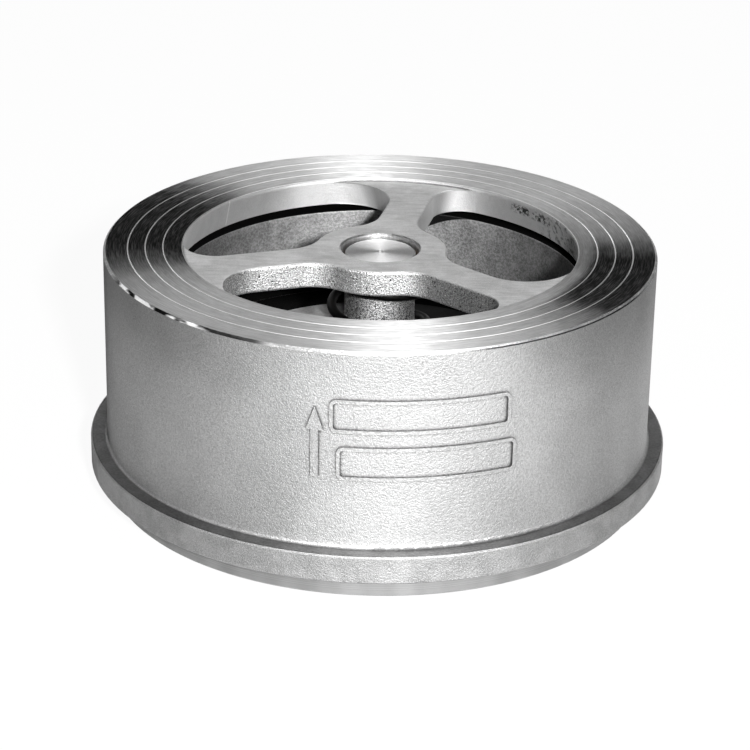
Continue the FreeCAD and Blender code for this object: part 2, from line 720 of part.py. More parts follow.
def spring_rise(turn):
    """Height of the wire's centre after a number of turns from the bottom end."""
    bottom = SPRING_BOTTOM_Z + SPRING_WIRE_R * SPRING_GROUND_SHARE
    top = SPRING_TOP_Z - SPRING_WIRE_R * SPRING_GROUND_SHARE
    closed = SPRING_END_TURNS
    end_rise = SPRING_WIRE_R
    if turn <= closed:
        share = turn / closed
        return bottom + end_rise * share * share
    if turn >= closed + SPRING_ACTIVE_TURNS:
        share = (2 * closed + SPRING_ACTIVE_TURNS - turn) / closed
        return top - end_rise * share * share
    share = (turn - closed) / SPRING_ACTIVE_TURNS
    low = bottom + end_rise
    high = top - end_rise
    return low + (high - low) * share


def spring():
    """Left-hand compression spring with closed, ground ends, as the disc holds it."""
    turns = 2 * SPRING_END_TURNS + SPRING_ACTIVE_TURNS
    count = int(round(turns * SPRING_POINTS_PER_TURN))
    points = []
    for i in range(count + 1):
        turn = turns * i / count
        points.append(polar(SPRING_MEAN_R, SPRING_START_ANGLE - 360.0 * turn, spring_rise(turn)))
    curve = Part.BSplineCurve()
    curve.interpolate(points)
    path = Part.Wire(curve.toShape())
    start = points[0]
    along = curve.tangent(curve.FirstParameter)[0]
    section = Part.Wire(Part.Circle(start, along, SPRING_WIRE_R).toShape())
    wire = path.makePipeShell([section], True, True)
    slab = cylinder(SPRING_MEAN_R + 2 * SPRING_WIRE_R, SPRING_BOTTOM_Z, SPRING_TOP_Z)
    return wire.common(slab)


# ---- output ------------------------------------------------------------------
NODES = {
    "valve_body": valve_body,
    "guide_bush": guide_bush,
    "upper_spring_seat": upper_spring_seat,
    "spring": spring,
    "lower_spring_seat": lower_spring_seat,
    "stem": stem,
    "stem_seal_ring": stem_seal_ring,
    "disc": disc,
    "disc_seal_ring": disc_seal_ring,
    "seal_retainer": seal_retainer,
    "retainer_screws": retainer_screws,
    "disc_nut_washer": disc_nut_washer,
    "disc_nut": disc_nut,
    "cotter_pin": cotter_pin,
    "seat_ring": seat_ring,
    "seat_o_ring": seat_o_ring,
    "seat_screws": seat_screws,
    "seat_screw_washers": seat_screw_washers,
}


def write_parts():
    os.makedirs("parts", exist_ok=True)
    for name, make in NODES.items():
        made = make()
        shape = Part.makeCompound(made) if isinstance(made, list) else made
        shape.exportStep("parts/" + name + ".step")
        print(name, "solids", len(shape.Solids), "valid", shape.isValid(),
              "volume cm3 %.2f" % (shape.Volume / 1000.0))


write_parts()
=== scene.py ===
"""Looks of the wafer check valve: finishes, spring, studio and camera.

The CAD nodes carry the shapes.  Here each gets a procedural finish, and the
spring is drawn again as a coil.
Lengths are in metres, +Z is the flow direction and -Y is the arrow side.
"""

import math

import bpy
from mathutils import Matrix, Vector

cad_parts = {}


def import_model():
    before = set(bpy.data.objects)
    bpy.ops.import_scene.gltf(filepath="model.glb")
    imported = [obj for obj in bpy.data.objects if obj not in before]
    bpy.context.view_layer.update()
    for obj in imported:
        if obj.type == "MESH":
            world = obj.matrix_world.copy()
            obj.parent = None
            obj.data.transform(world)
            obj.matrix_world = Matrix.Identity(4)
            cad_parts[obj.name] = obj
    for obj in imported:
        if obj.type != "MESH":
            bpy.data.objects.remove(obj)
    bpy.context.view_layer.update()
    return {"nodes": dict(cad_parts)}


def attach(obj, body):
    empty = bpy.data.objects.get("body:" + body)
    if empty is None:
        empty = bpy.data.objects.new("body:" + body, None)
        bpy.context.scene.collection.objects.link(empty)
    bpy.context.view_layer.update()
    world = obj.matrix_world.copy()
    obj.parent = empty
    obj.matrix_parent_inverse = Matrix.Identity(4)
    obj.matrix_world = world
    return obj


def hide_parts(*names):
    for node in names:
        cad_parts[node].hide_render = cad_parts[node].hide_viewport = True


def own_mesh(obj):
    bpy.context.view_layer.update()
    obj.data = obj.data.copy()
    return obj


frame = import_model()
NODES = frame["nodes"]

MM = 0.001

# sizes of the body that its finish follows
FACE_Z = 121.5 * MM
BODY_R = 133.7 * MM
CHAMFER = 1.3 * MM
OUTLET_R = 95.6 * MM
WEB_TOP_Z = 119.7 * MM
WEB_UNDER_Z = 106.8 * MM
SLOT_Z = 102.5 * MM
BORE_R = 98.5 * MM
HUB_BORE_R = 19.0 * MM
CHAMBER_Z = 69.0 * MM
RIM_R = 142.0 * MM
RIM_Z0 = 11.0 * MM
RIM_Z1 = 25.0 * MM
RIM_FILLET = 1.6 * MM

# spring
COIL_R = 23.4 * MM
WIRE_R = 2.3 * MM
COIL_Z = (58.0 * MM, 108.1 * MM)
COIL_END_TURNS = 0.8
COIL_ACTIVE_TURNS = 2.3
COIL_START = 299.0
COIL_FACETS = 28
COIL_STEPS_PER_TURN = 90

# ends of the noise range that speck() stretches to full contrast
SPECK_LOW = 0.36
SPECK_HIGH = 0.64

# camera: long lens from the arrow side, a little above, rolled by one degree
CAMERA_LENS = 127.54
CAMERA_SENSOR = 36.0
CAMERA_AZIMUTH = 0.07
CAMERA_ELEVATION = 23.77
CAMERA_ROLL = 0.995
CAMERA_DISTANCE = 1.3137
CAMERA_AIM = Vector((-1.55, 0.0, 52.2)) * MM

# studio
FLOOR_HALF = 6.0
FLOOR_DROP = 0.3 * MM
FLOOR_BOUNCE = 0.24
FLOOR_SEEN = 0.86
FLOOR_GLOW = 0.94
WORLD_LIGHT = 0.014
LIGHT_AIM = Vector((0.0, 0.0, 0.06))


# ---- expressions built from shader nodes -------------------------------------
class Value:
    """A shader socket that can be added, multiplied and compared."""

    def __init__(self, build, socket):
        self.build = build
        self.socket = socket

    def _math(self, operation, *others):
        return self.build.math(operation, self, *others)

    def __add__(self, other):
        return self._math("ADD", other)

    def __radd__(self, other):
        return self.build.math("ADD", other, self)

    def __sub__(self, other):
        return self._math("SUBTRACT", other)

    def __rsub__(self, other):
        return self.build.math("SUBTRACT", other, self)

    def __mul__(self, other):
        return self._math("MULTIPLY", other)

    def __rmul__(self, other):
        return self.build.math("MULTIPLY", other, self)

    def __pow__(self, other):
        return self._math("POWER", other)

    def __abs__(self):
        return self._math("ABSOLUTE")

    def __invert__(self):
        return 1.0 - self


class Build:
    """Builds one material; every method returns a Value or a socket."""

    def __init__(self, name):
        self.material = bpy.data.materials.new(name)
        self.material.use_nodes = True
        self.tree = self.material.node_tree
        self.tree.nodes.clear()
        coords = self.node("ShaderNodeTexCoord")
        self.place = coords.outputs["Object"]
        self.normal = coords.outputs["Normal"]
        self.x, self.y, self.z = self.split(self.place)
        self.nz = self.split(self.normal)[2]
        self.r = (self.x * self.x + self.y * self.y) ** 0.5
        self.angle = self.math("ARCTAN2", self.x, 0.0 - self.y)

    def node(self, kind, **settings):
        made = self.tree.nodes.new(kind)
        for key, value in settings.items():
            setattr(made, key, value)
        return made

    def wire(self, value, socket):
        if isinstance(value, Value):
            value = value.socket
        if isinstance(value, bpy.types.NodeSocket):
            self.tree.links.new(value, socket)
        elif value is not None:
            socket.default_value = value

    def math(self, operation, *values):
        made = self.node("ShaderNodeMath", operation=operation)
        for value, socket in zip(values, made.inputs):
            self.wire(value, socket)
        return Value(self, made.outputs[0])

    def split(self, vector):
        made = self.node("ShaderNodeSeparateXYZ")
        self.wire(vector, made.inputs[0])
        return [Value(self, out) for out in made.outputs]

    def join(self, x, y, z):
        made = self.node("ShaderNodeCombineXYZ")
        for value, socket in zip((x, y, z), made.inputs):
            self.wire(value, socket)
        return made.outputs[0]

    def ramp(self, value, low, high, to_low=0.0, to_high=1.0):
        """Smooth step of a value from one level to another."""
        made = self.node("ShaderNodeMapRange", interpolation_type="SMOOTHSTEP")
        for v, socket in zip((value, low, high, to_low, to_high), made.inputs):
            self.wire(v, socket)
        return Value(self, made.outputs[0])

    def above(self, value, level, soft):
        return self.ramp(value, level - soft, level + soft)

    def below(self, value, level, soft):
        return self.ramp(value, level - soft, level + soft, 1.0, 0.0)

    def between(self, value, low, high, soft):
        return self.above(value, low, soft) * self.below(value, high, soft)

    def noise(self, scale, detail=2.0, rough=0.5, vector=None, seed=0.0):
        made = self.node("ShaderNodeTexNoise", noise_dimensions="4D")
        self.wire(vector or self.place, made.inputs["Vector"])
        self.wire(seed, made.inputs["W"])
        self.wire(scale, made.inputs["Scale"])
        self.wire(detail, made.inputs["Detail"])
        self.wire(rough, made.inputs["Roughness"])
        return Value(self, made.outputs[0])

    def speck(self, scale, seed=0.0, detail=2.0, vector=None):
        """Noise stretched to its full range, centred on zero (-0.5 to 0.5)."""
        return self.ramp(self.noise(scale, detail, 0.6, vector, seed), SPECK_LOW, SPECK_HIGH) - 0.5

    def lines(self, along, pitch):
        """Noise that only changes along one coordinate."""
        made = self.node("ShaderNodeTexNoise", noise_dimensions="1D")
        self.wire(along, made.inputs["W"])
        self.wire(1.0 / pitch, made.inputs["Scale"])
        self.wire(2.0, made.inputs["Detail"])
        return Value(self, made.outputs[0])

    def rings(self, pitch, seed=0.0):
        """Tool marks round the axis, as a lathe leaves them on a flat face."""
        return self.lines(self.r + seed, pitch)

    def levels(self, pitch, seed=0.0):
        """Tool marks at constant height, as a lathe leaves them on a side."""
        return self.lines(self.z + seed, pitch)

    def mix(self, low, high, share):
        """Number between two numbers."""
        return low + (high - low) * share

    def tint(self, level, warm=0.0):
        """Near-neutral metal colour of a brightness level."""
        made = self.node("ShaderNodeCombineColor")
        self.wire(level * (1.0 + warm), made.inputs[0])
        self.wire(level, made.inputs[1])
        self.wire(level * (1.0 - warm), made.inputs[2])
        return made.outputs[0]

    def bump(self, height):
        """Normal bent by a height in metres."""
        made = self.node("ShaderNodeBump")
        made.inputs["Strength"].default_value = 1.0
        made.inputs["Distance"].default_value = 1.0
        self.wire(height, made.inputs["Height"])
        return made.outputs[0]

    def radial(self):
        """World direction away from the Z axis."""
        made = self.node("ShaderNodeVectorMath", operation="NORMALIZE")
        self.wire(self.join(self.x, self.y, 0.0), made.inputs[0])
        turn = self.node("ShaderNodeVectorTransform", vector_type="VECTOR",
                         convert_from="OBJECT", convert_to="WORLD")
        self.wire(made.outputs[0], turn.inputs[0])
        return turn.outputs[0]

    def finish(self, color, rough, metallic, height, aniso=None):
        """Closes the material; the grooves of an anisotropic one run round the axis."""
        shader = self.node("ShaderNodeBsdfPrincipled")
        self.wire(color, shader.inputs["Base Color"])
        self.wire(rough, shader.inputs["Roughness"])
        self.wire(metallic, shader.inputs["Metallic"])
        self.wire(self.bump(height), shader.inputs["Normal"])
        if aniso is not None:
            self.wire(aniso, shader.inputs["Anisotropic"])
            self.wire(self.radial(), shader.inputs["Tangent"])
        out = self.node("ShaderNodeOutputMaterial")
        self.wire(shader.outputs[0], out.inputs[0])
        return self.material


def edge_wear_and_sheen(b, radius):
    """1 on corners, 0 on flats, from how far a rounded normal leans away."""
    soft = b.node("ShaderNodeBevel", samples=4)
    soft.inputs["Radius"].default_value = radius
    sharp = b.node("ShaderNodeNewGeometry")
    dot = b.node("ShaderNodeVectorMath", operation="DOT_PRODUCT")
    b.wire(soft.outputs[0], dot.inputs[0])
    b.wire(sharp.outputs["Normal"], dot.inputs[1])
    return b.ramp(Value(b, dot.outputs["Value"]), 0.99, 0.8, 0.0, 1.0)


def closeness(b, distance):
    """1 in the open, towards 0 in tight corners."""
    made = b.node("ShaderNodeAmbientOcclusion", samples=6)
    made.inputs["Distance"].default_value = distance
    return Value(b, made.outputs["AO"])


def sector(b, middle, half, soft=3.0):
    """1 within some degrees of an azimuth counted from the front."""
    away = abs(b.angle - math.radians(middle))
    return b.below(away, math.radians(half), math.radians(soft))


# ---- finish of the valve body ------------------------------------------------
def body_finish():
    """One material for the whole casting; where it is decides how it looks."""
    b = Build("cast_stainless")
    r, z, angle = b.r, b.z, b.angle
    fine = 0.1 * MM

    # where each machined or cast surface is
    outside = b.above(r, OUTLET_R + 0.2 * MM, fine)
    face = outside * b.above(z, FACE_Z - 0.7 * MM, fine) * b.below(r, BODY_R - CHAMFER + 0.1 * MM, fine)
    groove = face * b.below(z, FACE_Z - 0.08 * MM, 0.05 * MM)
    chamfer = b.above(r, BODY_R - CHAMFER + 0.1 * MM, fine) * b.above(z, FACE_Z - CHAMFER, fine)
    rim_top = b.above(r, BODY_R + MM, 0.6 * MM) * b.between(z, RIM_Z1 - 0.3 * MM, RIM_Z1 + RIM_FILLET, fine)
    rim_side = b.above(r, RIM_R - 1.2 * MM, fine) * b.below(z, RIM_Z1 - 0.4 * MM, 0.3 * MM)
    band = b.below(z, RIM_Z0 + 0.1 * MM, fine) * b.above(r, BODY_R - 20 * MM, MM)
    inside = b.below(r, BODY_R - 20 * MM, MM)
    slot = inside * b.between(z, SLOT_Z - 0.1 * MM, WEB_UNDER_Z + 0.1 * MM, fine)
    slot = slot * b.above(r, BORE_R + 0.4 * MM, fine)
    hollow = inside * b.below(z, SLOT_Z, 0.3 * MM)
    painted_deep_shade = inside * b.below(z, CHAMBER_Z, 2 * MM)
    web_top = b.below(r, OUTLET_R - 0.1 * MM, fine) * b.above(z, WEB_TOP_Z - 0.5 * MM, 0.3 * MM)
    between_faces = inside * b.between(z, WEB_UNDER_Z + 0.1 * MM, FACE_Z - 0.6 * MM, 0.2 * MM)
    on_ring = b.above(r, OUTLET_R - 0.3 * MM, fine)
    ring_wall = between_faces * on_ring
    web_side = between_faces * ~on_ring * ~web_top
    hub_wall = b.below(r, HUB_BORE_R + 0.8 * MM, fine) * b.above(z, WEB_UNDER_Z, MM)

    # grain
    grain = b.speck(2000.0, 0.0, 1.0)
    coarse = b.speck(800.0, 3.0)
    cloud = b.speck(16.0, 1.0)
    blotch = b.speck(80.0, 2.0)
    pits = b.ramp(b.noise(900.0, 2.0, 0.5, seed=5.0), 0.42, 0.30)

    # shot-blasted skin, with painted shade towards the top, most of all at the sides
    side_on = b.ramp(abs(angle), math.radians(15), math.radians(60))
    painted_upper_shade = side_on * b.ramp(z, 0.5 * FACE_Z, FACE_Z) * b.above(r, BODY_R - MM, fine)
    top_shade = b.ramp(z, 0.75 * FACE_Z, FACE_Z, 0.0, 0.1)
    level = (0.61 + grain * 0.17 + coarse * 0.08 + cloud * 0.05) * (1.0 - painted_upper_shade * 0.28 - top_shade)
    rough = 0.59 + cloud * 0.04
    height = grain * (0.06 * MM) + coarse * (0.05 * MM)

    # turned gasket face, with a painted dark reflection on the left and right
    turned = b.rings(0.45 * MM) * 0.6 + b.rings(2.6 * MM, 7.0) * 0.4
    streak = b.speck(1.0, 4.0, 3.0, vector=b.join(r * 2200.0, angle * 11.0, 0.0))
    smear = b.speck(1.0, 6.0, 3.0, vector=b.join(r * 400.0, angle * 12.0, 0.0))
    patch = b.speck(45.0, 8.0, 3.0)
    outer = b.ramp(r, 98.0 * MM, 108.0 * MM, 0.3, 1.0)
    dark_reflection_paint = sector(b, -102.0, 28.0, 28.0) + sector(b, 69.0, 24.0, 26.0) * outer
    dark_reflection_paint = b.ramp(dark_reflection_paint + (b.noise(34.0, 4.0, 0.6, seed=15.0) - 0.5) * 0.5, 0.15, 0.85)
    face_level = 0.60 + (turned - 0.5) * 0.36 + streak * 0.14 + smear * 0.06 + patch * 0.03
    face_level = face_level * (1.0 - dark_reflection_paint * (0.95 - streak * 0.3))
    face_rough = 0.55 + streak * 0.05 + patch * 0.03
    level = b.mix(level, face_level, face)
    rough = b.mix(rough, face_rough, face)
    height = b.mix(height, (turned - 0.5) * (0.012 * MM), face)
    # the grooves are painted as bright lines of highlight, dimmed under the painted dark reflection
    level = b.mix(level, 0.95 - dark_reflection_paint * 0.45, groove)
    rough = b.mix(rough, 0.66, groove)

    # its outer edge, with painted glints and painted dark patches on the left front and a painted shade line
    # on the right front
    painted_glint_share = b.ramp(b.noise(1.0, 2.0, 0.5, b.join(angle * 9.0, z * 300.0, 0.0), 13.0), 0.44, 0.54)
    edge_level = b.mix(0.9 + coarse * 0.2, b.mix(0.02, 0.95, painted_glint_share), sector(b, -45.0, 22.0, 4.0))
    edge_shade = sector(b, 42.0, 24.0, 6.0) * b.below(z, FACE_Z - 0.6 * CHAMFER, fine)
    edge_shade = edge_shade + sector(b, -29.0, 7.0, 3.0)
    level = b.mix(level, b.mix(edge_level, 0.1, edge_shade), chamfer)
    rough = b.mix(rough, 0.5 + smear * 0.1 + sector(b, -45.0, 24.0, 4.0) * painted_glint_share * 0.4, chamfer)

    # spider: wiped top
    wiped = b.speck(1.0, 17.0, 3.0, vector=b.join(b.x * 90.0, b.y * 420.0, 0.0))
    level = b.mix(level, 0.57 + blotch * 0.07 + grain * 0.07 + patch * 0.07 + wiped * 0.08, web_top)
    rough = b.mix(rough, 0.70, web_top)
    # the rear walls get a painted sheen in the windows' corners and painted shade next to the arm
    painted_corner_sheen = b.ramp(abs(angle), math.radians(142), math.radians(158), 0.0, 0.18)
    near_arm = b.ramp(r, 94.5 * MM, 85.0 * MM) * b.above(abs(angle), math.radians(140), 0.1)
    painted_corner_sheen = painted_corner_sheen * ~near_arm
    smooth_wall = (0.78 + smear * 0.05 + grain * 0.06 + painted_corner_sheen) * (1.0 - near_arm * 0.35)
    level = b.mix(level, smooth_wall, web_side + ring_wall)
    rough = b.mix(rough, 0.56 + painted_corner_sheen * 0.5, web_side + ring_wall)
    # the sides that face the front are rough from the mould
    bumpy = web_side * b.below(b.y, -6.0 * MM, 5.0 * MM)
    lump = b.speck(1700.0, 21.0)
    cast_wall = 0.60 + grain * 0.58 + lump * 0.1 - pits * 0.7
    level = b.mix(level, cast_wall * b.ramp(b.x, 15.0 * MM, 45.0 * MM, 1.0, 0.75), bumpy)
    rough = b.mix(rough, 0.50, bumpy)
    height = b.mix(height, lump * (0.09 * MM) - pits * (0.12 * MM), bumpy)
    level = b.mix(level, 0.6 + smear * 0.1, hub_wall)
    rough = b.mix(rough, 0.4, hub_wall)

    # dirt left on the wall of one window, a scratch on another
    spot = b.ramp(b.noise(520.0, 3.0, 0.7, seed=11.0), 0.49, 0.54)
    dirt = ring_wall * sector(b, 128.0, 8.0, 2.0) * b.between(z, 114.0 * MM, 118.5 * MM, MM) * spot
    stain = b.ramp(b.noise(300.0, 3.0, 0.7, seed=12.0), 0.50, 0.62)
    low_dirt = ring_wall * sector(b, 109.0, 14.0, 6.0) * stain * 0.7
    scratch = ring_wall * sector(b, -127.0, 0.2, 0.1) * b.above(z, 108.0 * MM, MM)
    level = level * (1.0 - (dirt + low_dirt) * 0.9) + scratch * 0.6

    # hollow below the spider, with painted shade towards the windows' ends; at the right window's corner the
    # dark gap is only painted on
    painted_end_shade = b.ramp(abs(angle), math.radians(100), math.radians(150), 0.5, 1.0)
    wall_level = (0.32 + blotch * 0.09 + coarse * 0.15 + grain * 0.08) * painted_end_shade
    level = b.mix(level, wall_level, hollow)
    rough = b.mix(rough, 0.62, hollow)
    past = b.math("MAXIMUM", angle - math.radians(150), 0.0)
    shaded = hollow * b.above(z, SLOT_Z - past * past * (98.0 * MM), fine) * b.above(past, 0.0, 0.01)
    shaded = shaded * b.below(angle, math.radians(174), 0.02)
    # painted shade: below the chamber's shoulder, all nearer the axis than the inlet band is nearly black,
    # the inlet bore and the inner edge of the inlet face included
    level = b.mix(level, 0.012, painted_deep_shade + shaded)
    # the slot under the outlet ring is painted nearly black, as shade in a recess
    level = b.mix(level, 0.006, slot)
    rough = b.mix(rough, 0.8, slot)

    # rim and inlet band
    # the rim's top is painted dark, standing in for a dark reflection
    level = b.mix(level, 0.17 + blotch * 0.05 + coarse * 0.05, rim_top)
    rough = b.mix(rough, 0.46, rim_top)
    height = b.mix(height, coarse * (0.01 * MM), rim_top)
    level = b.mix(level, 0.52 + grain * 0.18 + blotch * 0.1, rim_side)
    lines = b.levels(0.5 * MM, 3.0)
    glint = b.speck(1.0, 9.0, 1.0, vector=b.join(angle * 7.0, 0.0, 0.0))
    level = b.mix(level, 0.66 + (lines - 0.5) * 0.3 + glint * 0.12, band)
    rough = b.mix(rough, 0.46, band)
    height = b.mix(height, (lines - 0.5) * (0.01 * MM), band)

    # edges are brighter, partly wear and partly painted sheen; tight corners get painted shade
    inner_lip = b.below(r, BORE_R, fine) * b.above(z, FACE_Z - MM, fine)
    wear_and_sheen = edge_wear_and_sheen(b, 0.7 * MM) * ~face * ~slot * ~inner_lip * ~chamfer
    level = level + wear_and_sheen * (0.16 + coarse * 0.2)
    corner = b.ramp(closeness(b, 2.0 * MM), 0.5, 0.93, 0.85, 0.0)
    level = level * (1.0 - corner * ~face)
    rough = rough - wear_and_sheen * 0.12

    aniso = face * ~groove * 0.75 + chamfer * 0.3 + hub_wall * 0.4
    return b.finish(b.tint(b.math("MAXIMUM", level, 0.002)), rough, 1.0, height, aniso)


# ---- other finishes ----------------------------------------------------------
def turned_finish():
    """Machined metal: tool rings on flat faces, height lines on turned sides."""
    b = Build("turned_stainless")
    pitch = 0.4 * MM
    flat = b.above(abs(b.nz), 0.7, 0.1)
    marks = b.mix(b.levels(pitch), b.rings(pitch), flat)
    cloud = b.noise(60.0, 3.0, 0.6)
    grain = b.noise(2200.0, 2.0, 0.6, seed=1.0)
    wear_and_sheen = edge_wear_and_sheen(b, 0.5 * MM)
    level = 0.6 + (marks - 0.5) * 0.25 + (cloud - 0.5) * 0.2 + (grain - 0.5) * 0.08 + wear_and_sheen * 0.15
    height = (marks - 0.5) * (0.014 * MM) + (grain - 0.5) * (0.006 * MM)
    return b.finish(b.tint(level), 0.3 + (cloud - 0.5) * 0.2, 1.0, height, 0.5)


def stem_finish():
    """Rough dark-and-bright rod with a finely turned end."""
    b = Build("stem_stainless")
    end = b.above(abs(b.nz), 0.6, 0.2)
    grain = b.speck(1800.0, 0.0, 2.0)
    speck = b.speck(700.0, 2.0)
    marks = b.rings(0.35 * MM)
    sweep = b.noise(1.0, 2.0, 0.5, b.join(b.r * 500.0, b.angle * 6.0, 0.0), 4.0)
    side = 0.38 + grain * 0.65 + speck * 0.2
    face = 0.95 + (marks - 0.5) * 0.25 + (sweep - 0.5) * 0.2
    level = b.mix(side, face, end)
    rough = b.mix(0.5 + speck * 0.1, 0.42, end)
    height = b.mix(grain * (0.1 * MM), (marks - 0.5) * (0.01 * MM), end)
    return b.finish(b.tint(b.math("MAXIMUM", level, 0.02)), rough, 1.0, height, end * 0.65)


def disc_finish():
    """Cast back with a painted shadow patch, and a turned rim."""
    b = Build("disc_stainless")
    rim = b.above(b.r, 83.0 * MM, MM)
    grain = b.speck(900.0)
    blotch = b.speck(70.0, 1.0)
    lines = b.levels(0.5 * MM)
    cast = 0.6 + grain * 0.1 + blotch * 0.08
    turned = 0.6 + (lines - 0.5) * 0.3
    level = b.mix(cast, turned, rim * b.below(abs(b.nz), 0.5, 0.2))
    drift = (b.noise(28.0, 4.0, 0.6, seed=4.0) - 0.5) * (36.0 * MM)
    painted_shadow_patch = b.above(b.x + drift, -24.0 * MM, 6.0 * MM) * b.above(b.y + drift, 36.0 * MM, 20.0 * MM)
    painted_shadow_patch = painted_shadow_patch * b.above(b.nz, 0.5, 0.2)
    level = b.mix(level, 0.03 + blotch * 0.02, painted_shadow_patch)
    height = grain * (0.03 * MM)
    return b.finish(b.tint(level), 0.6 + blotch * 0.06, 1.0, height)


def spring_finish():
    """Nearly black drawn wire with a rubbed skin."""
    b = Build("spring_steel")
    scale = b.noise(260.0, 3.0, 0.6)
    fine = b.noise(1600.0, 2.0, 0.6, seed=1.0)
    level = 0.015 + (scale - 0.5) * 0.02 + (fine - 0.5) * 0.01
    height = (fine - 0.5) * (0.03 * MM)
    return b.finish(b.tint(level, 0.03), 0.5 + (scale - 0.5) * 0.2, 1.0, height)


def fastener_finish():
    """Plain stainless with rubbed corners."""
    b = Build("fastener_stainless")
    grain = b.noise(1800.0, 2.0, 0.6)
    cloud = b.noise(150.0, 3.0, 0.6, seed=1.0)
    wear_and_sheen = edge_wear_and_sheen(b, 0.4 * MM)
    level = 0.55 + (cloud - 0.5) * 0.25 + (grain - 0.5) * 0.12 + wear_and_sheen * 0.2
    height = (grain - 0.5) * (0.02 * MM)
    return b.finish(b.tint(level), 0.34 + (cloud - 0.5) * 0.2, 1.0, height)


def bronze_finish():
    """Turned bearing bronze, darker in patches."""
    b = Build("bronze")
    marks = b.levels(0.4 * MM)
    cloud = b.noise(120.0, 3.0, 0.6)
    shade = 0.75 + (marks - 0.5) * 0.3 + (cloud - 0.5) * 0.5
    made = b.node("ShaderNodeCombineColor")
    b.wire(shade * 0.66, made.inputs[0])
    b.wire(shade * 0.46, made.inputs[1])
    b.wire(shade * 0.26, made.inputs[2])
    return b.finish(made.outputs[0], 0.38 + (cloud - 0.5) * 0.2, 1.0, (marks - 0.5) * (0.012 * MM))


def rubber_finish():
    """Matte black with a faint bloom."""
    b = Build("rubber")
    grain = b.noise(1500.0, 3.0, 0.6)
    bloom = b.noise(120.0, 3.0, 0.6, seed=1.0)
    level = 0.018 + b.ramp(bloom, 0.45, 0.8) * 0.03 + (grain - 0.5) * 0.01
    return b.finish(b.tint(level), 0.62 + (bloom - 0.5) * 0.2, 0.0, (grain - 0.5) * (0.03 * MM))


def ptfe_finish():
    """White and slightly waxy, with fine tool rings."""
    b = Build("ptfe")
    marks = b.rings(0.5 * MM)
    cloud = b.noise(60.0, 3.0, 0.5)
    level = 0.76 + (marks - 0.5) * 0.06 + (cloud - 0.5) * 0.1
    return b.finish(b.tint(level, 0.02), 0.45 + (cloud - 0.5) * 0.1, 0.0, (marks - 0.5) * (0.01 * MM))


def paint(names, material):
    """Gives CAD nodes a finish through their material slots."""
    for name in names:
        slots = NODES[name].material_slots
        if not slots:
            NODES[name].data.materials.append(material)
        for slot in slots:
            slot.material = material


# ---- spring ------------------------------------------------------------------
def coil_height(turn):
    """Height of the wire's centre after some turns from the bottom end."""
    low = COIL_Z[0] + WIRE_R * 0.5
    high = COIL_Z[1] - WIRE_R * 0.5
    total = 2 * COIL_END_TURNS + COIL_ACTIVE_TURNS
    if turn <= COIL_END_TURNS:
        return low + WIRE_R * (turn / COIL_END_TURNS) ** 2
    if turn >= total - COIL_END_TURNS:
        return high - WIRE_R * ((total - turn) / COIL_END_TURNS) ** 2
    share = (turn - COIL_END_TURNS) / COIL_ACTIVE_TURNS
    return low + WIRE_R + (high - low - 2 * WIRE_R) * share


def coil():
    """Left-hand spring wire swept along its helix, with both ends ground flat."""
    total = 2 * COIL_END_TURNS + COIL_ACTIVE_TURNS
    count = round(total * COIL_STEPS_PER_TURN)
    around = COIL_FACETS
    centres = []
    for i in range(count + 1):
        turn = total * i / count
        a = math.radians(COIL_START - 360.0 * turn)
        centres.append(Vector((COIL_R * math.cos(a), COIL_R * math.sin(a), coil_height(turn))))
    verts = []
    for i, c in enumerate(centres):
        ahead = centres[min(i + 1, count)] - centres[max(i - 1, 0)]
        ahead.normalize()
        out = Vector((c.x, c.y, 0.0)).normalized()
        up = ahead.cross(out).normalized()
        out = up.cross(ahead)
        for k in range(around):
            t = 2 * math.pi * k / around
            p = c + (out * math.cos(t) + up * math.sin(t)) * WIRE_R
            p.z = min(max(p.z, COIL_Z[0]), COIL_Z[1])
            verts.append(p)
    faces = []
    for i in range(count):
        for k in range(around):
            n = (k + 1) % around
            here = i * around + k
            beside = i * around + n
            faces.append((here, beside, beside + around, here + around))
    faces.append(tuple(reversed(range(around))))
    faces.append(tuple(range(count * around, (count + 1) * around)))
    mesh = bpy.data.meshes.new("spring_coil")
    mesh.from_pydata(verts, [], faces)
    mesh.update()
    mesh.shade_smooth()
    made = bpy.data.objects.new("spring_coil", mesh)
    bpy.context.scene.collection.objects.link(made)
    return made


# ---- dress the nodes ---------------------------------------------------------
paint(["valve_body"], body_finish())
paint(["upper_spring_seat", "lower_spring_seat", "seat_ring", "seal_retainer"], turned_finish())
paint(["stem"], stem_finish())
paint(["disc"], disc_finish())
paint(["seat_screws", "seat_screw_washers", "retainer_screws", "disc_nut", "disc_nut_washer",
       "cotter_pin"], fastener_finish())
paint(["guide_bush"], bronze_finish())
paint(["seat_o_ring", "stem_seal_ring"], rubber_finish())
paint(["disc_seal_ring"], ptfe_finish())

spring = coil()
spring.data.materials.append(spring_finish())
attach(spring, "valve_housing")
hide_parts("spring")
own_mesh(spring)


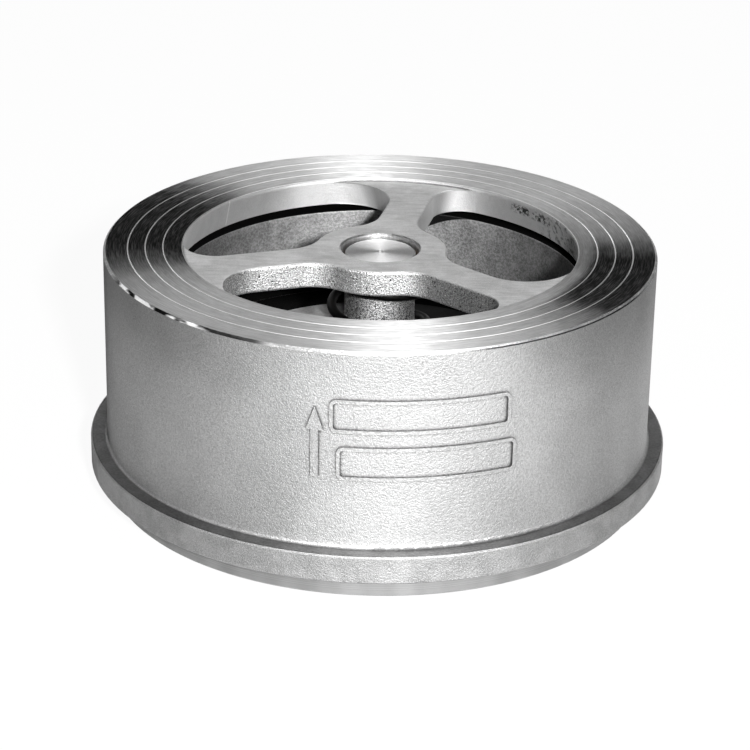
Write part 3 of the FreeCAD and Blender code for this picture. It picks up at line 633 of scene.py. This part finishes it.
# ---- studio ------------------------------------------------------------------
def floor():
    """Pale paper; its underside is clear, so that the object can be seen from below."""
    mesh = bpy.data.meshes.new("floor")
    corners = ((-1, -1), (1, -1), (1, 1), (-1, 1))
    mesh.from_pydata([(x * FLOOR_HALF, y * FLOOR_HALF, -FLOOR_DROP) for x, y in corners], [], [(0, 1, 2, 3)])
    made = bpy.data.objects.new("floor", mesh)
    bpy.context.scene.collection.objects.link(made)
    b = Build("floor_paper")
    diffuse = b.node("ShaderNodeBsdfDiffuse")
    fibre = b.noise(900.0, 3.0, 0.6)
    path = b.node("ShaderNodeLightPath")
    seen = Value(b, path.outputs["Is Camera Ray"])
    b.wire(b.tint(b.mix(FLOOR_BOUNCE, FLOOR_SEEN, seen) + (fibre - 0.5) * 0.01), diffuse.inputs[0])
    glow = b.node("ShaderNodeEmission")
    glow.inputs["Strength"].default_value = 1.0
    bright = b.node("ShaderNodeMixShader")
    b.wire(seen * FLOOR_GLOW, bright.inputs[0])
    b.wire(diffuse.outputs[0], bright.inputs[1])
    b.wire(glow.outputs[0], bright.inputs[2])
    geometry = b.node("ShaderNodeNewGeometry")
    clear = b.node("ShaderNodeBsdfTransparent")
    both = b.node("ShaderNodeMixShader")
    b.wire(geometry.outputs["Backfacing"], both.inputs[0])
    b.wire(bright.outputs[0], both.inputs[1])
    b.wire(clear.outputs[0], both.inputs[2])
    out = b.node("ShaderNodeOutputMaterial")
    b.wire(both.outputs[0], out.inputs[0])
    mesh.materials.append(b.material)
    made.visible_shadow = False


def toward(azimuth, elevation):
    """Direction from the object; azimuth 0 is the camera's side, 90 the right."""
    a, e = math.radians(azimuth), math.radians(elevation)
    return Vector((math.sin(a) * math.cos(e), -math.cos(a) * math.cos(e), math.sin(e)))


def light(name, azimuth, elevation, distance, size, power, size_y=None):
    """Area light that faces the object."""
    data = bpy.data.lights.new(name, "AREA")
    data.energy = power
    data.shape = "RECTANGLE"
    data.size = size
    data.size_y = size_y or size
    made = bpy.data.objects.new(name, data)
    back = toward(azimuth, elevation)
    made.location = LIGHT_AIM + back * distance
    made.rotation_mode = "QUATERNION"
    made.rotation_quaternion = back.to_track_quat("Z", "Y")
    bpy.context.scene.collection.objects.link(made)


def world():
    """Pale grey to the camera, nearly dark as a light."""
    made = bpy.data.worlds.new("studio")
    made.use_nodes = True
    tree = made.node_tree
    tree.nodes.clear()
    path = tree.nodes.new("ShaderNodeLightPath")
    dim = tree.nodes.new("ShaderNodeBackground")
    dim.inputs["Color"].default_value = (1.0, 1.0, 1.0, 1.0)
    dim.inputs["Strength"].default_value = WORLD_LIGHT
    pale = tree.nodes.new("ShaderNodeBackground")
    pale.inputs["Strength"].default_value = 1.0
    mix = tree.nodes.new("ShaderNodeMixShader")
    out = tree.nodes.new("ShaderNodeOutputWorld")
    tree.links.new(path.outputs["Is Camera Ray"], mix.inputs[0])
    tree.links.new(dim.outputs[0], mix.inputs[1])
    tree.links.new(pale.outputs[0], mix.inputs[2])
    tree.links.new(mix.outputs[0], out.inputs[0])
    bpy.context.scene.world = made


def camera():
    """Camera placed by azimuth, elevation, roll and distance."""
    data = bpy.data.cameras.new("camera")
    data.lens = CAMERA_LENS
    data.sensor_width = CAMERA_SENSOR
    data.clip_start = 0.05
    data.clip_end = 50.0
    roll = math.radians(CAMERA_ROLL)
    back = toward(CAMERA_AZIMUTH, CAMERA_ELEVATION)
    right = Vector((0, 0, 1)).cross(back).normalized()
    up = back.cross(right)
    x = right * math.cos(roll) + up * math.sin(roll)
    y = up * math.cos(roll) - right * math.sin(roll)
    made = bpy.data.objects.new("camera", data)
    turn = Matrix((x, y, back)).transposed().to_4x4()
    made.matrix_world = Matrix.Translation(CAMERA_AIM + back * CAMERA_DISTANCE) @ turn
    bpy.context.scene.collection.objects.link(made)
    bpy.context.scene.camera = made


floor()
world()
light("key", 10, 25, 2.4, 0.14, 130)
light("rear_strip", -175, 50, 1.5, 2.0, 7.5, size_y=0.4)
light("back", 180, -14, 1.6, 1.0, 14)
light("under", 0, -90, 1.2, 1.0, 7.0)
camera()
bpy.context.scene.view_settings.view_transform = "Standard"
